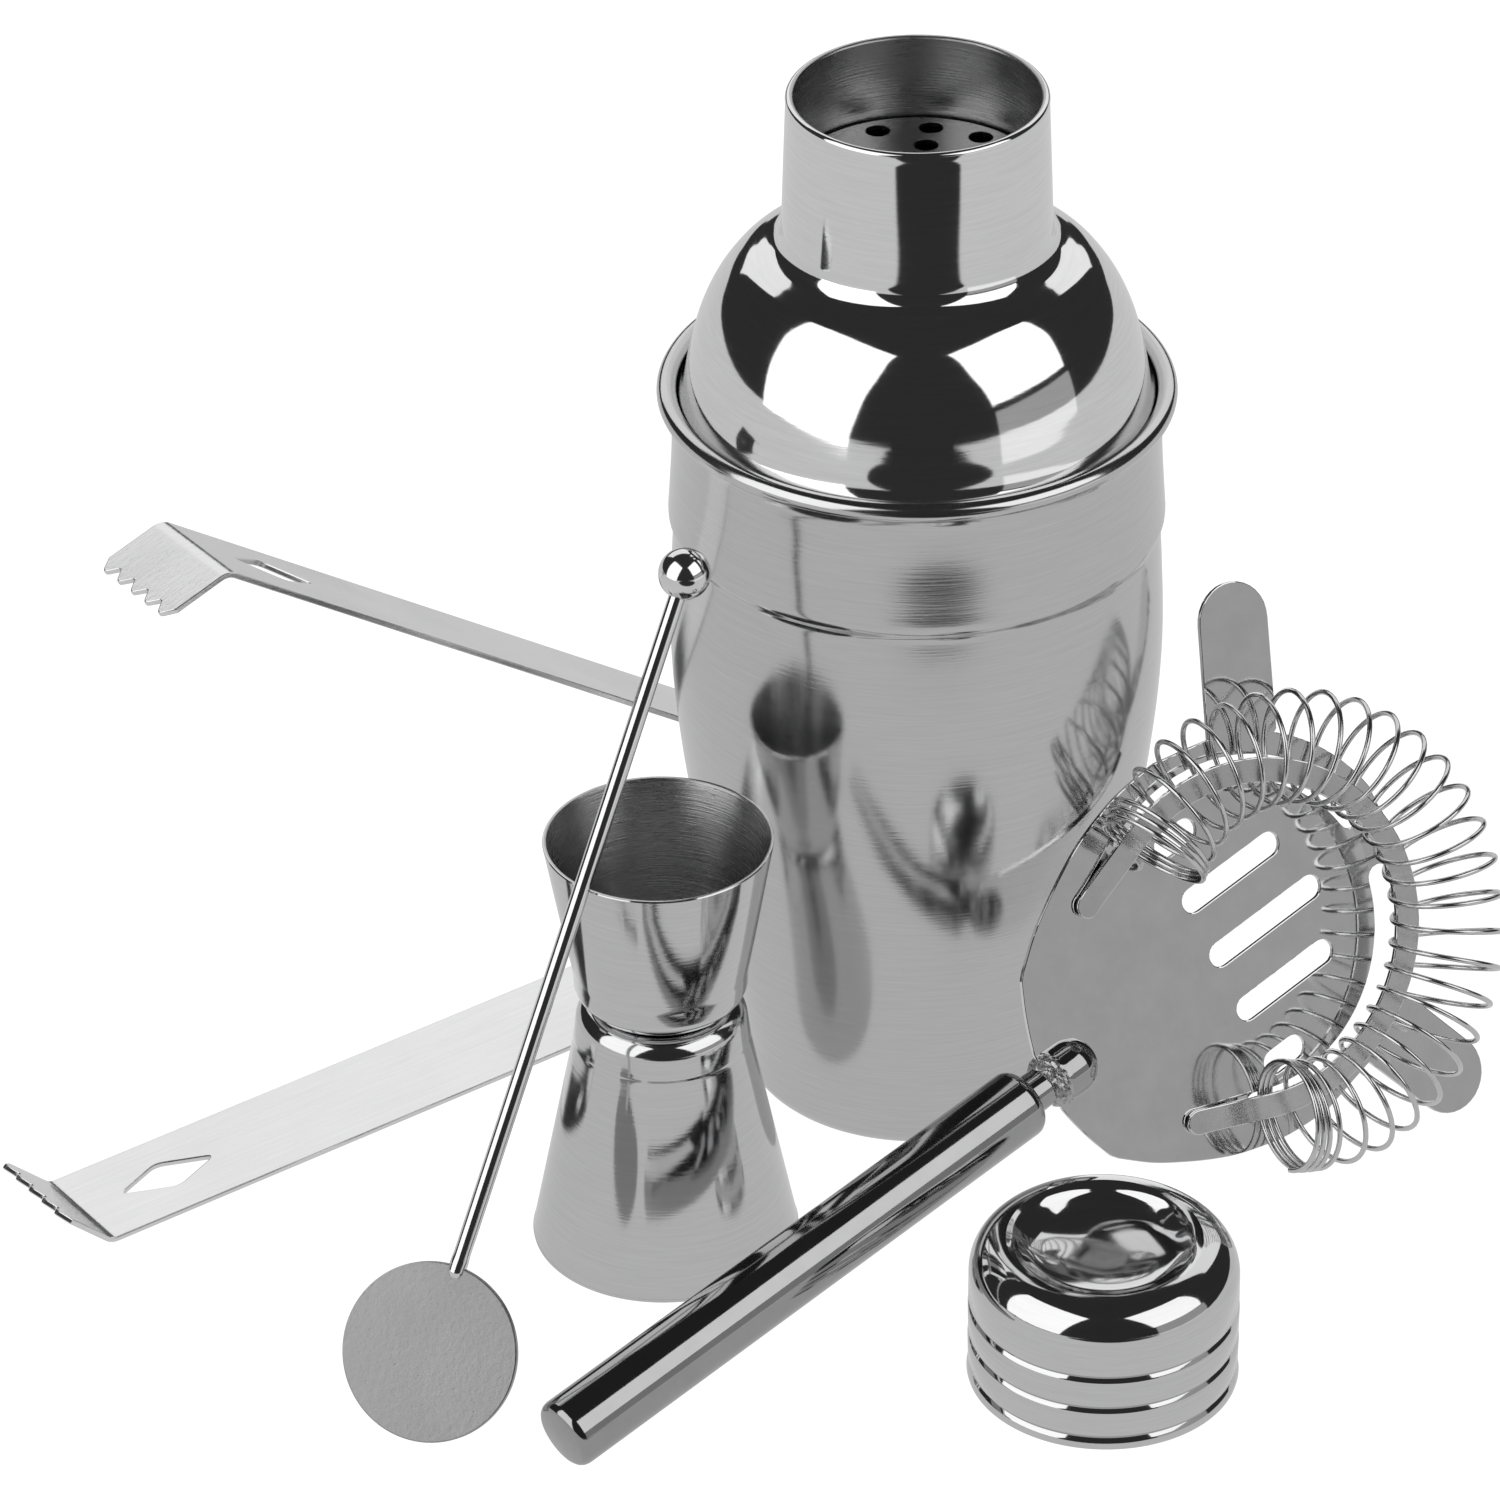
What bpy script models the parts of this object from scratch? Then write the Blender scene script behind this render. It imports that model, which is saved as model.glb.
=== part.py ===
"""Cocktail shaker set: shaker with cap off, double jigger, ice tongs, Hawthorne strainer and muddling stirrer."""

import math

import bmesh
import bpy
from mathutils import Matrix, Vector

MM = 0.001
WALL = 0.9
GAP = 0.3
SHEET = 0.9

TIN_STEPS = 48
CUP_STEPS = 40

CAP_AT = (29.33, -94.5)
JIGGER_AT = (-44.9, -51.9)
JIGGER_WAIST = 47.2

SIEVE_Z = 177.4
SIEVE_R = 21.2
SIEVE_HOLE_R = 2.1
SIEVE_RINGS = ((6, 0.53), (12, 0.83))
SIEVE_TURN = 21.0

PLATE_ORIGIN = (56.1, -27.2, 42.2)
PLATE_U = (0.7654, 0.5895, 0.2582)
PLATE_V = (-0.4292, 0.1687, 0.8873)
RING_R = 36.3
WINDOW_IN = 27.6
WINDOW_OUT = 32.2
WINDOW_FROM = 12.5
WINDOW_TO = 114.0
STRIP_R = 30.0
STRIP_HALF = 2.1
STRIP_SWEEP = 111.5
STRIP_TH = 0.9
STRIP_SLOPE = 0.118
EAR_W = 7.0
EAR_ANGLE = 65.5
EAR_LENGTHS = (54.0, 50.0)
EAR_SHIFT = 3.4
SLOT_HALF = 2.25
SLOT_START = -7.5
SLOTS = ((0.0, 18.2), (11.35, 14.7), (-11.35, 14.7), (22.8, 1.5), (-22.8, 1.5))

COIL_R = 9.9
COIL_WIRE = 0.48
COIL_PATH_R = 33.0
COIL_FAR_OUT = 2.8
COIL_END_IN = 6.5
COIL_LIFT = 10.9
COIL_FAR_UP = 0.6
COIL_TURNS = 31
COIL_POINTS = 12
COIL_SWEEP = 112.0

PIN_R = 3.7
TUBE_R = 6.2
TUBE_FROM = 50.6
TUBE_LENGTH = 105.4
BOSS_AT = 40.5
BOSS_R = 5.2

STIR_DISC = (-84.0, -105.7, 13.3)
STIR_DIR = (0.3225, 0.4535, 0.8305)
STIR_NORMAL = (-0.246, -0.830, 0.500)
STIR_DISC_R = 15.2
STIR_ROD_R = 1.45
STIR_LENGTH = 137.2
STIR_BALL_R = 4.4

TONGS_AT = (-141.2, -55.7)
TONGS_ANGLE = 36.0
TONGS_WIDTH = 21.2
TONGS_TH = 1.0
BOW_AT = 183.0
BOW_R = 9.0
FLANGE = 13.3
LOWER_FOLD = 44.0
UPPER_FOLD = 53.0
CREST = (31.3, 124.6)
TOOTH_COUNT = 5
TOOTH_DEPTH = 2.2


def empty_scene():
    for item in list(bpy.data.objects):
        bpy.data.objects.remove(item)


def collection(name):
    made = bpy.data.collections.new(name)
    bpy.context.scene.collection.children.link(made)
    return made


def material(name, color, rough):
    made = bpy.data.materials.new(name)
    made.use_nodes = True
    shader = made.node_tree.nodes["Principled BSDF"]
    shader.inputs["Base Color"].default_value = (color, color, color * 1.01, 1.0)
    shader.inputs["Metallic"].default_value = 1.0
    shader.inputs["Roughness"].default_value = rough
    made.diffuse_color = (color, color, color, 1.0)
    return made


def finish(obj, name, color=0.78, rough=0.2, smooth=True):
    obj.name = name
    obj.data.name = name
    obj.data.materials.clear()
    obj.data.materials.append(material(name, color, rough))
    if smooth and obj.type == "MESH":
        obj.data.polygons.foreach_set("use_smooth", [True] * len(obj.data.polygons))
    return obj


def link(obj, home):
    home.objects.link(obj)
    return obj


def screw_piece(name, outline, steps, home, at=(0.0, 0.0), color=0.78, rough=0.2):
    """A turned piece: the outline runs in (radius, height) millimetres."""
    mesh = bpy.data.meshes.new(name)
    shape = bmesh.new()
    last = None
    for radius, height in outline:
        vert = shape.verts.new((radius * MM, 0.0, height * MM))
        if last is not None:
            shape.edges.new((last, vert))
        last = vert
    shape.to_mesh(mesh)
    shape.free()
    obj = link(bpy.data.objects.new(name, mesh), home)
    obj.location = (at[0] * MM, at[1] * MM, 0.0)
    turn = obj.modifiers.new("turn", "SCREW")
    turn.axis = "Z"
    turn.angle = math.tau
    turn.steps = steps
    turn.render_steps = steps
    turn.use_merge_vertices = True
    turn.merge_threshold = 1e-5
    turn.use_normal_calculate = False
    return finish(obj, name, color, rough)


def round_corner(radius_at, height_at, size, start, stop, count):
    """Points on a fillet centred on (radius_at, height_at), angles in degrees from +radius."""
    made = []
    for index in range(count + 1):
        angle = math.radians(start + (stop - start) * index / count)
        made.append((radius_at + size * math.cos(angle), height_at + size * math.sin(angle)))
    return made


def build_tin(home):
    """The body tin: beaded rim, waist, pressed band and barrel tapering to a small base."""
    bead = round_corner(42.75, 138.0, 1.7, 175.0, -90.0, 8)
    outer = bead + [(42.0, 134.4), (42.0, 126.5), (42.7, 117.5), (42.7, 114.6), (41.9, 112.8)]
    outer += [(42.3, 105.2), (42.8, 93.0), (42.5, 82.0), (41.4, 70.0), (39.8, 58.5), (36.0, 37.0), (31.2, 8.6)]
    outer += round_corner(26.3, 5.0, 5.0, -12.0, -90.0, 5)
    outer += [(0.0, 0.0)]
    inner = [(0.0, WALL), (26.2, WALL + 0.1), (29.6, 3.0), (30.3, 8.8), (35.1, 37.2), (38.9, 58.7), (40.5, 70.0)]
    inner += [(41.6, 82.0), (41.9, 93.0), (41.4, 105.2), (41.0, 112.8), (41.3, 126.5), (41.2, 137.6)]
    return screw_piece("shaker_tin", inner + outer, TIN_STEPS, home, color=0.70, rough=0.18)


def build_dome(home):
    """The strainer top: straight neck with a rolled lip, rounded shoulder, skirt inside the tin's rim."""
    outer = [(21.1, 194.0), (21.9, 193.7), (22.2, 193.0), (22.6, 182.0), (23.0, 168.4), (23.5, 166.5), (25.2, 165.5)]
    outer += [(28.2, 164.1), (31.0, 161.8), (33.6, 158.4), (36.0, 154.0), (38.0, 148.4), (39.2, 143.6), (39.7, 141.0)]
    outer += [(40.2, 139.5), (40.75, 138.2), (40.75, 127.0)]
    inner = [(39.85, 127.0), (39.85, 137.9), (39.35, 139.1), (38.8, 140.8), (38.3, 143.4), (37.1, 148.0)]
    inner += [(35.2, 153.5), (32.9, 157.8), (30.4, 161.1)]
    inner += [(27.8, 163.3), (24.9, 164.6), (22.6, 166.0), (22.1, 168.4), (21.7, 182.0), (20.9, 193.0)]
    outline = outer + inner + [outer[0]]
    return screw_piece("strainer_dome", outline, TIN_STEPS, home, color=0.80, rough=0.08)


def build_cap(home):
    """The neck cap: open below, grooved side, rounded shoulder and a sunken dimple on top."""
    dimple = [(0.0, 22.4), (6.0, 22.7), (11.0, 23.8), (14.4, 25.9), (15.6, 26.9)]
    outer = dimple + round_corner(15.6, 20.2, 7.0, 78.0, 0.0, 6) + [(22.75, 15.2), (22.5, 14.5), (22.85, 13.8)]
    outer += [(22.95, 8.9), (22.6, 8.2), (23.0, 7.5), (23.05, 2.9), (22.7, 2.2), (23.15, 1.5), (23.15, 0.0)]
    inner = [(22.0, 0.0), (21.8, 15.0), (21.6, 20.2), (20.2, 23.4), (15.6, 25.9), (14.6, 25.1), (11.2, 22.9)]
    inner += [(6.2, 21.8), (0.0, 21.5)]
    return screw_piece("cap", outer + inner, CUP_STEPS, home, CAP_AT, 0.80, 0.08)


def build_jigger(home):
    """The double measure: a small cup over a larger cone that stands open side down."""
    outer = [(18.9, 80.3), (19.6, 80.3), (16.6, 62.8), (14.8, 53.5)]
    outer += round_corner(10.2, 52.6, 4.6, -10.0, -90.0, 4) + [(0.0, 48.0)]
    inner = [(0.0, 48.9), (10.2, 48.9), (13.4, 51.6), (13.9, 53.7), (15.8, 62.9), (18.9, 80.3)]
    small = screw_piece("jigger_small_cup", inner[:-1] + outer, CUP_STEPS, home, JIGGER_AT, 0.78, 0.12)
    outer = [(0.0, 47.6)] + round_corner(11.2, 44.0, 3.6, 90.0, 8.0, 4)
    outer += [(16.05, 36.0), (22.2, 4.9), (23.1, 0.0)]
    inner = [(22.3, 0.0), (21.4, 4.9), (15.2, 36.0), (13.7, 43.6), (11.2, 46.7), (0.0, 46.7)]
    large = screw_piece("jigger_large_cup", outer + inner, CUP_STEPS, home, JIGGER_AT, 0.78, 0.12)
    return small, large


def flat_curve(name, outlines, thick, home):
    """A sheet cut to closed outlines in its own XY plane, the first the edge and the rest holes."""
    data = bpy.data.curves.new(name, "CURVE")
    data.dimensions = "2D"
    data.fill_mode = "BOTH"
    data.extrude = thick * MM / 2.0
    for outline in outlines:
        run = data.splines.new("POLY")
        run.points.add(len(outline) - 1)
        for point, spot in zip(run.points, outline):
            point.co = (spot[0] * MM, spot[1] * MM, 0.0, 1.0)
        run.use_cyclic_u = True
    return link(bpy.data.objects.new(name, data), home)


def to_mesh(obj, home):
    """Turn a curve into a welded mesh that stands where the curve stood."""
    view = bpy.context.evaluated_depsgraph_get()
    mesh = bpy.data.meshes.new_from_object(obj.evaluated_get(view))
    work = bmesh.new()
    work.from_mesh(mesh)
    bmesh.ops.remove_doubles(work, verts=work.verts, dist=2e-6)
    bmesh.ops.recalc_face_normals(work, faces=work.faces)
    work.to_mesh(mesh)
    work.free()
    made = link(bpy.data.objects.new(obj.name, mesh), home)
    made.matrix_world = obj.matrix_world.copy()
    bpy.data.objects.remove(obj)
    return made


def arc(radius, start, stop, count, centre=(0.0, 0.0)):
    made = []
    for index in range(count + 1):
        angle = math.radians(start + (stop - start) * index / count)
        made.append((centre[0] + radius * math.cos(angle), centre[1] + radius * math.sin(angle)))
    return made


def build_sieve(home):
    """The pierced disc across the foot of the neck."""
    outlines = [arc(SIEVE_R, 0.0, 351.0, 39), arc(SIEVE_HOLE_R, 0.0, 324.0, 9)]
    for count, share in SIEVE_RINGS:
        for index in range(count):
            centre = arc(SIEVE_R * share, SIEVE_TURN + 360.0 * index / count, 0.0, 1)[0]
            outlines.append(arc(SIEVE_HOLE_R, 0.0, 324.0, 9, centre))
    obj = flat_curve("sieve_disc", outlines, SHEET, home)
    obj.location = (0.0, 0.0, (SIEVE_Z + 0.6) * MM)
    return finish(to_mesh(obj, home), "sieve_disc", 0.72, 0.2, smooth=False)


def plate_matrix(lift=0.0, along=0.0):
    """The strainer plate's frame: U to the far end, V across, N up off the plate."""
    run = Vector(PLATE_U).normalized()
    across = Vector(PLATE_V)
    across = (across - run * across.dot(run)).normalized()
    up = run.cross(across)
    place = Matrix((run, across, up)).transposed().to_4x4()
    spot = Vector(PLATE_ORIGIN) + up * lift + run * along
    place.translation = spot * MM
    return place


def ear_side(sign, reach):
    """Half the plate's edge: round the far rim, out round one ear and on to the boss corner."""
    run = math.radians(EAR_ANGLE)
    along = Vector((math.cos(run), math.sin(run)))
    across = Vector((-along.y, along.x))
    base = Vector((EAR_SHIFT, 0.0))
    foot = math.sqrt(RING_R ** 2 - 3.0 ** 2) - 2.0
    near = base + along * foot - across * EAR_W
    far = base + along * foot + across * EAR_W
    tip = base + along * reach
    edge = arc(RING_R - 0.8, 0.0, 10.0, 1) + arc(RING_R, 18.0, 50.0, 4)
    edge.append((near.x, near.y))
    for index in range(9):
        turn = math.radians(-90.0 + 180.0 * index / 8.0)
        spot = tip + (along * math.cos(turn) + across * math.sin(turn)) * EAR_W
        edge.append((spot.x, spot.y))
    edge.append((far.x, far.y))
    edge += [(0.0, 36.4), (-5.0, 36.2), (-10.0, 35.6), (-15.0, 34.3), (-20.0, 32.6), (-30.0, 27.3)]
    edge += [(-35.0, 24.0), (-41.0, 18.75), (-44.6, 9.0), (-45.4, 5.8)]
    return [(u, v * sign) for u, v in edge]


def window(sign):
    outer = arc(WINDOW_OUT, WINDOW_FROM, WINDOW_TO, 12)
    inner = arc(WINDOW_IN, WINDOW_TO, WINDOW_FROM, 12)
    middle = (WINDOW_IN + WINDOW_OUT) / 2.0
    end = arc(middle, WINDOW_TO + 4.2, WINDOW_TO + 4.2, 1)[:1]
    start = arc(middle, WINDOW_FROM - 4.2, WINDOW_FROM - 4.2, 1)[:1]
    return [(u, v * sign) for u, v in outer + end + inner + start]


def slot(across, stop):
    far = arc(SLOT_HALF, -90.0, 90.0, 4, (stop - SLOT_HALF, across))
    near = arc(SLOT_HALF, 90.0, 270.0, 4, (SLOT_START + SLOT_HALF, across))
    return far + near


def build_plate(home):
    """The strainer plate with its two curved windows, five slots and two resting ears."""
    edge = ear_side(1.0, EAR_LENGTHS[0])
    other = list(reversed(ear_side(-1.0, EAR_LENGTHS[1])[1:]))
    outlines = [edge + other, window(1.0), window(-1.0)]
    for across, stop in SLOTS:
        outlines.append(slot(across, stop))
    obj = flat_curve("strainer_plate", outlines, SHEET, home)
    obj.matrix_world = plate_matrix()
    return finish(to_mesh(obj, home), "strainer_plate", 0.82, 0.06, smooth=False)


def strip_height(along):
    """Height of the guide strip's middle above the plate's middle."""
    rest = SHEET / 2.0 + GAP + STRIP_TH / 2.0
    if along < -22.0:
        return rest
    return rest + (along + 22.0) * STRIP_SLOPE


def build_strip(home):
    """The curved guide strip that stands over the windows and carries the coil."""
    outer = arc(STRIP_R + STRIP_HALF, -STRIP_SWEEP, STRIP_SWEEP, 28)
    inner = arc(STRIP_R - STRIP_HALF, STRIP_SWEEP, -STRIP_SWEEP, 28)
    heading = math.radians(STRIP_SWEEP + 90.0)
    ends = []
    for sign in (1.0, -1.0):
        middle = arc(STRIP_R, STRIP_SWEEP * sign, 0.0, 1)[0]
        step = Vector((math.cos(heading), math.sin(heading) * sign)) * 14.0
        centre = Vector(middle) + step
        facing = math.degrees(math.atan2(step.y, step.x))
        ends.append(arc(STRIP_HALF, facing - 90.0 * sign, facing + 90.0 * sign, 4, centre))
    outline = outer + ends[0] + inner + list(reversed(ends[1]))
    obj = flat_curve("guide_strip", [outline], STRIP_TH, home)
    made = to_mesh(obj, home)
    crease(made, -22.0)
    for vert in made.data.vertices:
        vert.co.z += strip_height(vert.co.x / MM) * MM
    made.matrix_world = plate_matrix()
    return finish(made, "guide_strip", 0.82, 0.08, smooth=False)


def coil_path():
    """Centre line of the wire: even turns round a C-shaped path, closed up at both ends."""
    total = COIL_TURNS * COIL_POINTS
    made = []
    for index in range(total + 1):
        share = index / total
        turn = math.tau * COIL_TURNS * share
        sweep = COIL_SWEEP * (2.0 * share - 1.0)
        ease = math.cos(math.radians(sweep))
        radius = COIL_PATH_R + (COIL_FAR_OUT if ease > 0.0 else COIL_END_IN) * ease
        lift = COIL_LIFT + COIL_FAR_UP * ease
        out = Vector((math.cos(math.radians(sweep)), math.sin(math.radians(sweep)), 0.0))
        centre = out * radius + Vector((0.0, 0.0, lift))
        spread = out * (COIL_R * math.cos(turn)) + Vector((0.0, 0.0, COIL_R * math.sin(turn)))
        made.append(centre + spread)
    return made


def build_spring(home):
    """The coil round the strainer's edge."""
    data = bpy.data.curves.new("strainer_spring", "CURVE")
    data.dimensions = "3D"
    data.bevel_depth = COIL_WIRE * MM
    data.bevel_resolution = 2
    data.use_fill_caps = True
    path = coil_path()
    run = data.splines.new("POLY")
    run.points.add(len(path) - 1)
    for point, spot in zip(run.points, path):
        point.co = (spot.x * MM, spot.y * MM, spot.z * MM, 1.0)
    obj = link(bpy.data.objects.new("strainer_spring", data), home)
    obj.matrix_world = plate_matrix()
    return finish(to_mesh(obj, home), "strainer_spring", 0.75, 0.15)


def turned_bar(name, outline, start, heading, steps, home, color=0.8, rough=0.08):
    """A solid turned bar along a heading, its outline in (radius, distance from the start)."""
    run = Vector(heading).normalized()
    obj = screw_piece(name, outline, steps, home, color=color, rough=rough)
    obj.matrix_world = Matrix.Translation(Vector(start) * MM) @ run.to_track_quat("Z", "Y").to_matrix().to_4x4()
    return obj


def build_handle(home):
    """Handle: a thin pin from the boss into a polished tube with a closed end."""
    place = plate_matrix(along=-BOSS_AT)
    run = (place.to_3x3() @ Vector((-0.9975, 0.040, 0.058))).normalized()
    start = place.translation / MM
    reach = TUBE_FROM - BOSS_AT
    pin = [(0.0, reach + 8.0), (PIN_R, reach + 8.0), (PIN_R, 5.4), (0.0, 5.4)]
    turned_bar("handle_pin", pin, start, run, 20, home)
    end = reach + TUBE_LENGTH
    tube = [(0.0, end), (5.2, end), (5.9, end - 0.4), (TUBE_R, end - 1.2), (TUBE_R, reach + 1.6), (5.3, reach + 0.5)]
    tube += [(4.4, reach), (PIN_R + GAP, reach), (PIN_R + GAP, reach + 8.3), (0.0, reach + 8.3)]
    turned_bar("handle_tube", tube, start, run, 32, home)
    lifted = start + (place.to_3x3() @ Vector((0.0, 0.0, SHEET / 2.0 + GAP)))
    half = [(0.0, 5.2), (2.0, 4.8), (3.7, 3.7), (4.8, 2.0), (BOSS_R, 0.0), (0.0, 0.0)]
    up = place.to_3x3() @ Vector((0.0, 0.0, 1.0))
    turned_bar("handle_boss", half, lifted, up, 24, home, 0.7, 0.35)


def build_stirrer(home):
    """The stirrer: flat disc, rod welded to its edge and a ball on top."""
    run = Vector(STIR_DIR).normalized()
    face = Vector(STIR_NORMAL)
    face = (face - run * face.dot(run)).normalized()
    side = run.cross(face)
    disc = [(0.0, 0.6), (STIR_DISC_R - 0.3, 0.6), (STIR_DISC_R, 0.3), (STIR_DISC_R, -0.3), (STIR_DISC_R - 0.3, -0.6)]
    disc.append((0.0, -0.6))
    obj = screw_piece("stirrer_disc", disc, 40, home, color=0.72, rough=0.3)
    turn = Matrix((side, run, face)).transposed().to_4x4()
    turn.translation = Vector(STIR_DISC) * MM
    obj.matrix_world = turn
    start = STIR_DISC_R + GAP
    rod = [(0.0, STIR_LENGTH - STIR_BALL_R - GAP), (STIR_ROD_R, STIR_LENGTH - STIR_BALL_R - GAP)]
    rod += [(STIR_ROD_R, start), (0.0, start)]
    turned_bar("stirrer_rod", rod, STIR_DISC, run, 16, home)
    ball = [(0.0, STIR_LENGTH + STIR_BALL_R)]
    for index in range(1, 8):
        angle = math.pi * index / 8.0
        ball.append((STIR_BALL_R * math.sin(angle), STIR_LENGTH + STIR_BALL_R * math.cos(angle)))
    ball.append((0.0, STIR_LENGTH - STIR_BALL_R))
    turned_bar("stirrer_ball", ball, STIR_DISC, run, 24, home)


def diamond(centre):
    """The tongs' cut-out: a long diamond with softened corners."""
    long = 9.6
    short = 3.9
    return [
        (centre - long, 0.6), (centre - long, -0.6), (centre - 2.6, -short), (centre + 2.6, -short),
        (centre + long, -0.6), (centre + long, 0.6), (centre + 2.6, short), (centre - 2.6, short),
    ]


def flat_arm(name, length, flange, home):
    """A tongs arm laid flat: cut-out, toothed flange to be bent at the tip, straight far end."""
    half = TONGS_WIDTH / 2.0
    edge = [(length, half), (0.0, half), (-flange + TOOTH_DEPTH, half)]
    step = TONGS_WIDTH / TOOTH_COUNT
    for index in range(TOOTH_COUNT):
        edge.append((-flange, half - step * (index + 0.5)))
        edge.append((-flange + TOOTH_DEPTH, half - step * (index + 1.0)))
    edge += [(0.0, -half), (length, -half)]
    obj = flat_curve(name, [edge, diamond(18.0)], TONGS_TH, home)
    return to_mesh(obj, home)


def crease(made, along):
    """Add a straight line of points across a sheet, where it is to be bent."""
    work = bmesh.new()
    work.from_mesh(made.data)
    everything = work.verts[:] + work.edges[:] + work.faces[:]
    bmesh.ops.bisect_plane(work, geom=everything, dist=1e-7, plane_co=(along * MM, 0.0, 0.0), plane_no=(1.0, 0.0, 0.0))
    work.to_mesh(made.data)
    work.free()


def bend(made, angle):
    """Fold everything beyond the bend line up by an angle in degrees."""
    crease(made, 0.0)
    fold = math.radians(angle)
    for vert in made.data.vertices:
        if vert.co.x < -0.0002:
            reach = -vert.co.x
            height = vert.co.z
            vert.co.x = height * math.sin(fold) - reach * math.cos(fold)
            vert.co.z = reach * math.sin(fold) + height * math.cos(fold)


def tongs_matrix():
    turn = Matrix.Rotation(math.radians(TONGS_ANGLE), 4, "Z")
    half = Vector((0.0, TONGS_WIDTH / 2.0, 0.0))
    place = Matrix.Translation(Vector((TONGS_AT[0], TONGS_AT[1], 0.0)) * MM) @ turn
    return place @ Matrix.Translation(half * MM)


def build_tongs(home):
    """Tongs bent from one strip, in three runs: the arm on the table, the bow and the raised arm."""
    place = tongs_matrix()
    lower = flat_arm("tongs_lower_arm", BOW_AT - GAP, FLANGE, home)
    bend(lower, LOWER_FOLD)
    lower.matrix_world = place @ Matrix.Translation((0.0, 0.0, TONGS_TH * MM / 2.0))
    finish(lower, "tongs_lower_arm", 0.80, 0.1, smooth=False)
    crest = Vector(CREST)
    pivot = Vector((BOW_AT, BOW_R))
    reach = (crest - pivot).length
    offset = BOW_R - TONGS_TH / 2.0
    straight = math.sqrt(reach ** 2 - offset ** 2)
    slope = math.atan2(crest.y - pivot.y, pivot.x - crest.x) - math.asin(offset / reach)
    upper = flat_arm("tongs_upper_arm", straight - GAP, FLANGE, home)
    bend(upper, UPPER_FOLD)
    fold = Matrix.Translation((crest.x * MM, 0.0, crest.y * MM)) @ Matrix.Rotation(slope, 4, "Y")
    flip = Matrix.Scale(-1.0, 4, Vector((0.0, 0.0, 1.0)))
    hinge = place @ Matrix.Translation((BOW_AT * MM, 0.0, BOW_R * MM))
    work = bmesh.new()
    work.from_mesh(upper.data)
    bmesh.ops.transform(work, matrix=hinge.inverted() @ place @ fold @ flip, verts=work.verts)
    bmesh.ops.recalc_face_normals(work, faces=work.faces)
    work.to_mesh(upper.data)
    work.free()
    upper.matrix_world = hinge
    finish(upper, "tongs_upper_arm", 0.80, 0.1, smooth=False)
    outer = arc(BOW_R, -90.0, 90.0 - math.degrees(slope), 14, (pivot.x, pivot.y))
    inner = arc(BOW_R - TONGS_TH, 90.0 - math.degrees(slope), -90.0, 14, (pivot.x, pivot.y))
    bow = flat_curve("tongs_bow", [outer + inner], TONGS_WIDTH, home)
    bow.matrix_world = place @ Matrix.Rotation(math.pi / 2.0, 4, "X")
    finish(to_mesh(bow, home), "tongs_bow", 0.80, 0.1, smooth=False)


def main():
    empty_scene()
    home = collection("cocktail_shaker_set")
    build_tin(home)
    build_dome(home)
    build_sieve(home)
    build_cap(home)
    build_jigger(home)
    build_plate(home)
    build_strip(home)
    build_spring(home)
    build_handle(home)
    build_stirrer(home)
    build_tongs(home)


main()
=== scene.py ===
"""Looks for a steel cocktail set: shaker, cap, jigger, coil-edged strainer, disc stirrer and ice tongs."""

import math
import random

import bmesh
import bpy
from bpy.props import FloatProperty, IntProperty, PointerProperty
from mathutils import Matrix, Vector


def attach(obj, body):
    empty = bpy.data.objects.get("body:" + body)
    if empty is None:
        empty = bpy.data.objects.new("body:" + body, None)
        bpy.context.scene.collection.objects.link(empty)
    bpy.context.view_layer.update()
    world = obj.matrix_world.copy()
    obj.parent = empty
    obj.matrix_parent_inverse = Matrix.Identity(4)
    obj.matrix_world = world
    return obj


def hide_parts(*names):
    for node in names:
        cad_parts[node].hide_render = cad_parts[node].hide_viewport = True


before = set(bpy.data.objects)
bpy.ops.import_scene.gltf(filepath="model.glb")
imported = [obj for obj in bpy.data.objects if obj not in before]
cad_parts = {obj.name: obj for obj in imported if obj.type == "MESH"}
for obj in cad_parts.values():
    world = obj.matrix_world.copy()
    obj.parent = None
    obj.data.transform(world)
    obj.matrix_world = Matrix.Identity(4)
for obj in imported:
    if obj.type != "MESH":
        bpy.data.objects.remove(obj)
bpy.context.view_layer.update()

bl_info = {
    "name": "Cocktail set builder",
    "version": (1, 0, 0),
    "blender": (4, 5, 0),
    "location": "View3D > Sidebar > Barware",
    "description": "Models the pieces of a steel cocktail set and its studio",
    "category": "Object",
}

MM = 0.001
SMOOTH_ANGLE = math.radians(32.0)
FLAT_ANGLE = math.radians(14.0)

CAP_AT = (29.33, -94.5)
JIGGER_AT = (-44.9, -51.9)

PLATE_ORIGIN = (56.1, -27.2, 42.2)
PLATE_U = (0.7654, 0.5895, 0.2582)
PLATE_V = (-0.4292, 0.1687, 0.8873)
SHEET = 0.9
GAP = 0.3
CUP_STEPS = 128

SIEVE_Z = 178.0
SIEVE_R = 21.2
SIEVE_HOLE_R = 2.1
SIEVE_RINGS = ((6, 0.53), (12, 0.83))
SIEVE_TURN = 21.0

RING_R = 36.3
WINDOW = (27.6, 32.2, 12.5, 114.0)
EAR_ANGLE = 65.5
EAR_LENGTHS = (54.0, 50.0)
EAR_SHIFT = 3.4
EAR_W = 7.0
SLOT_HALF = 2.25
SLOT_START = -7.5
STRIP_R = 30.0
STRIP_HALF = 2.2
STRIP_TH = 0.9
STRIP_SWEEP = 111.5
STRIP_TAIL = 14.0
STRIP_BEND_AT = -22.0
STRIP_SLOPE = 0.118
SLOTS = ((0.0, 18.2), (11.35, 14.7), (-11.35, 14.7), (22.8, 1.5), (-22.8, 1.5))

COIL_PATH_R = 33.0
COIL_FAR_OUT = 2.8
COIL_END_IN = 6.5
COIL_LIFT = 10.9
COIL_FAR_UP = 0.6
COIL_POINTS = 44
COIL_TIGHT = 2.1

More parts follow.
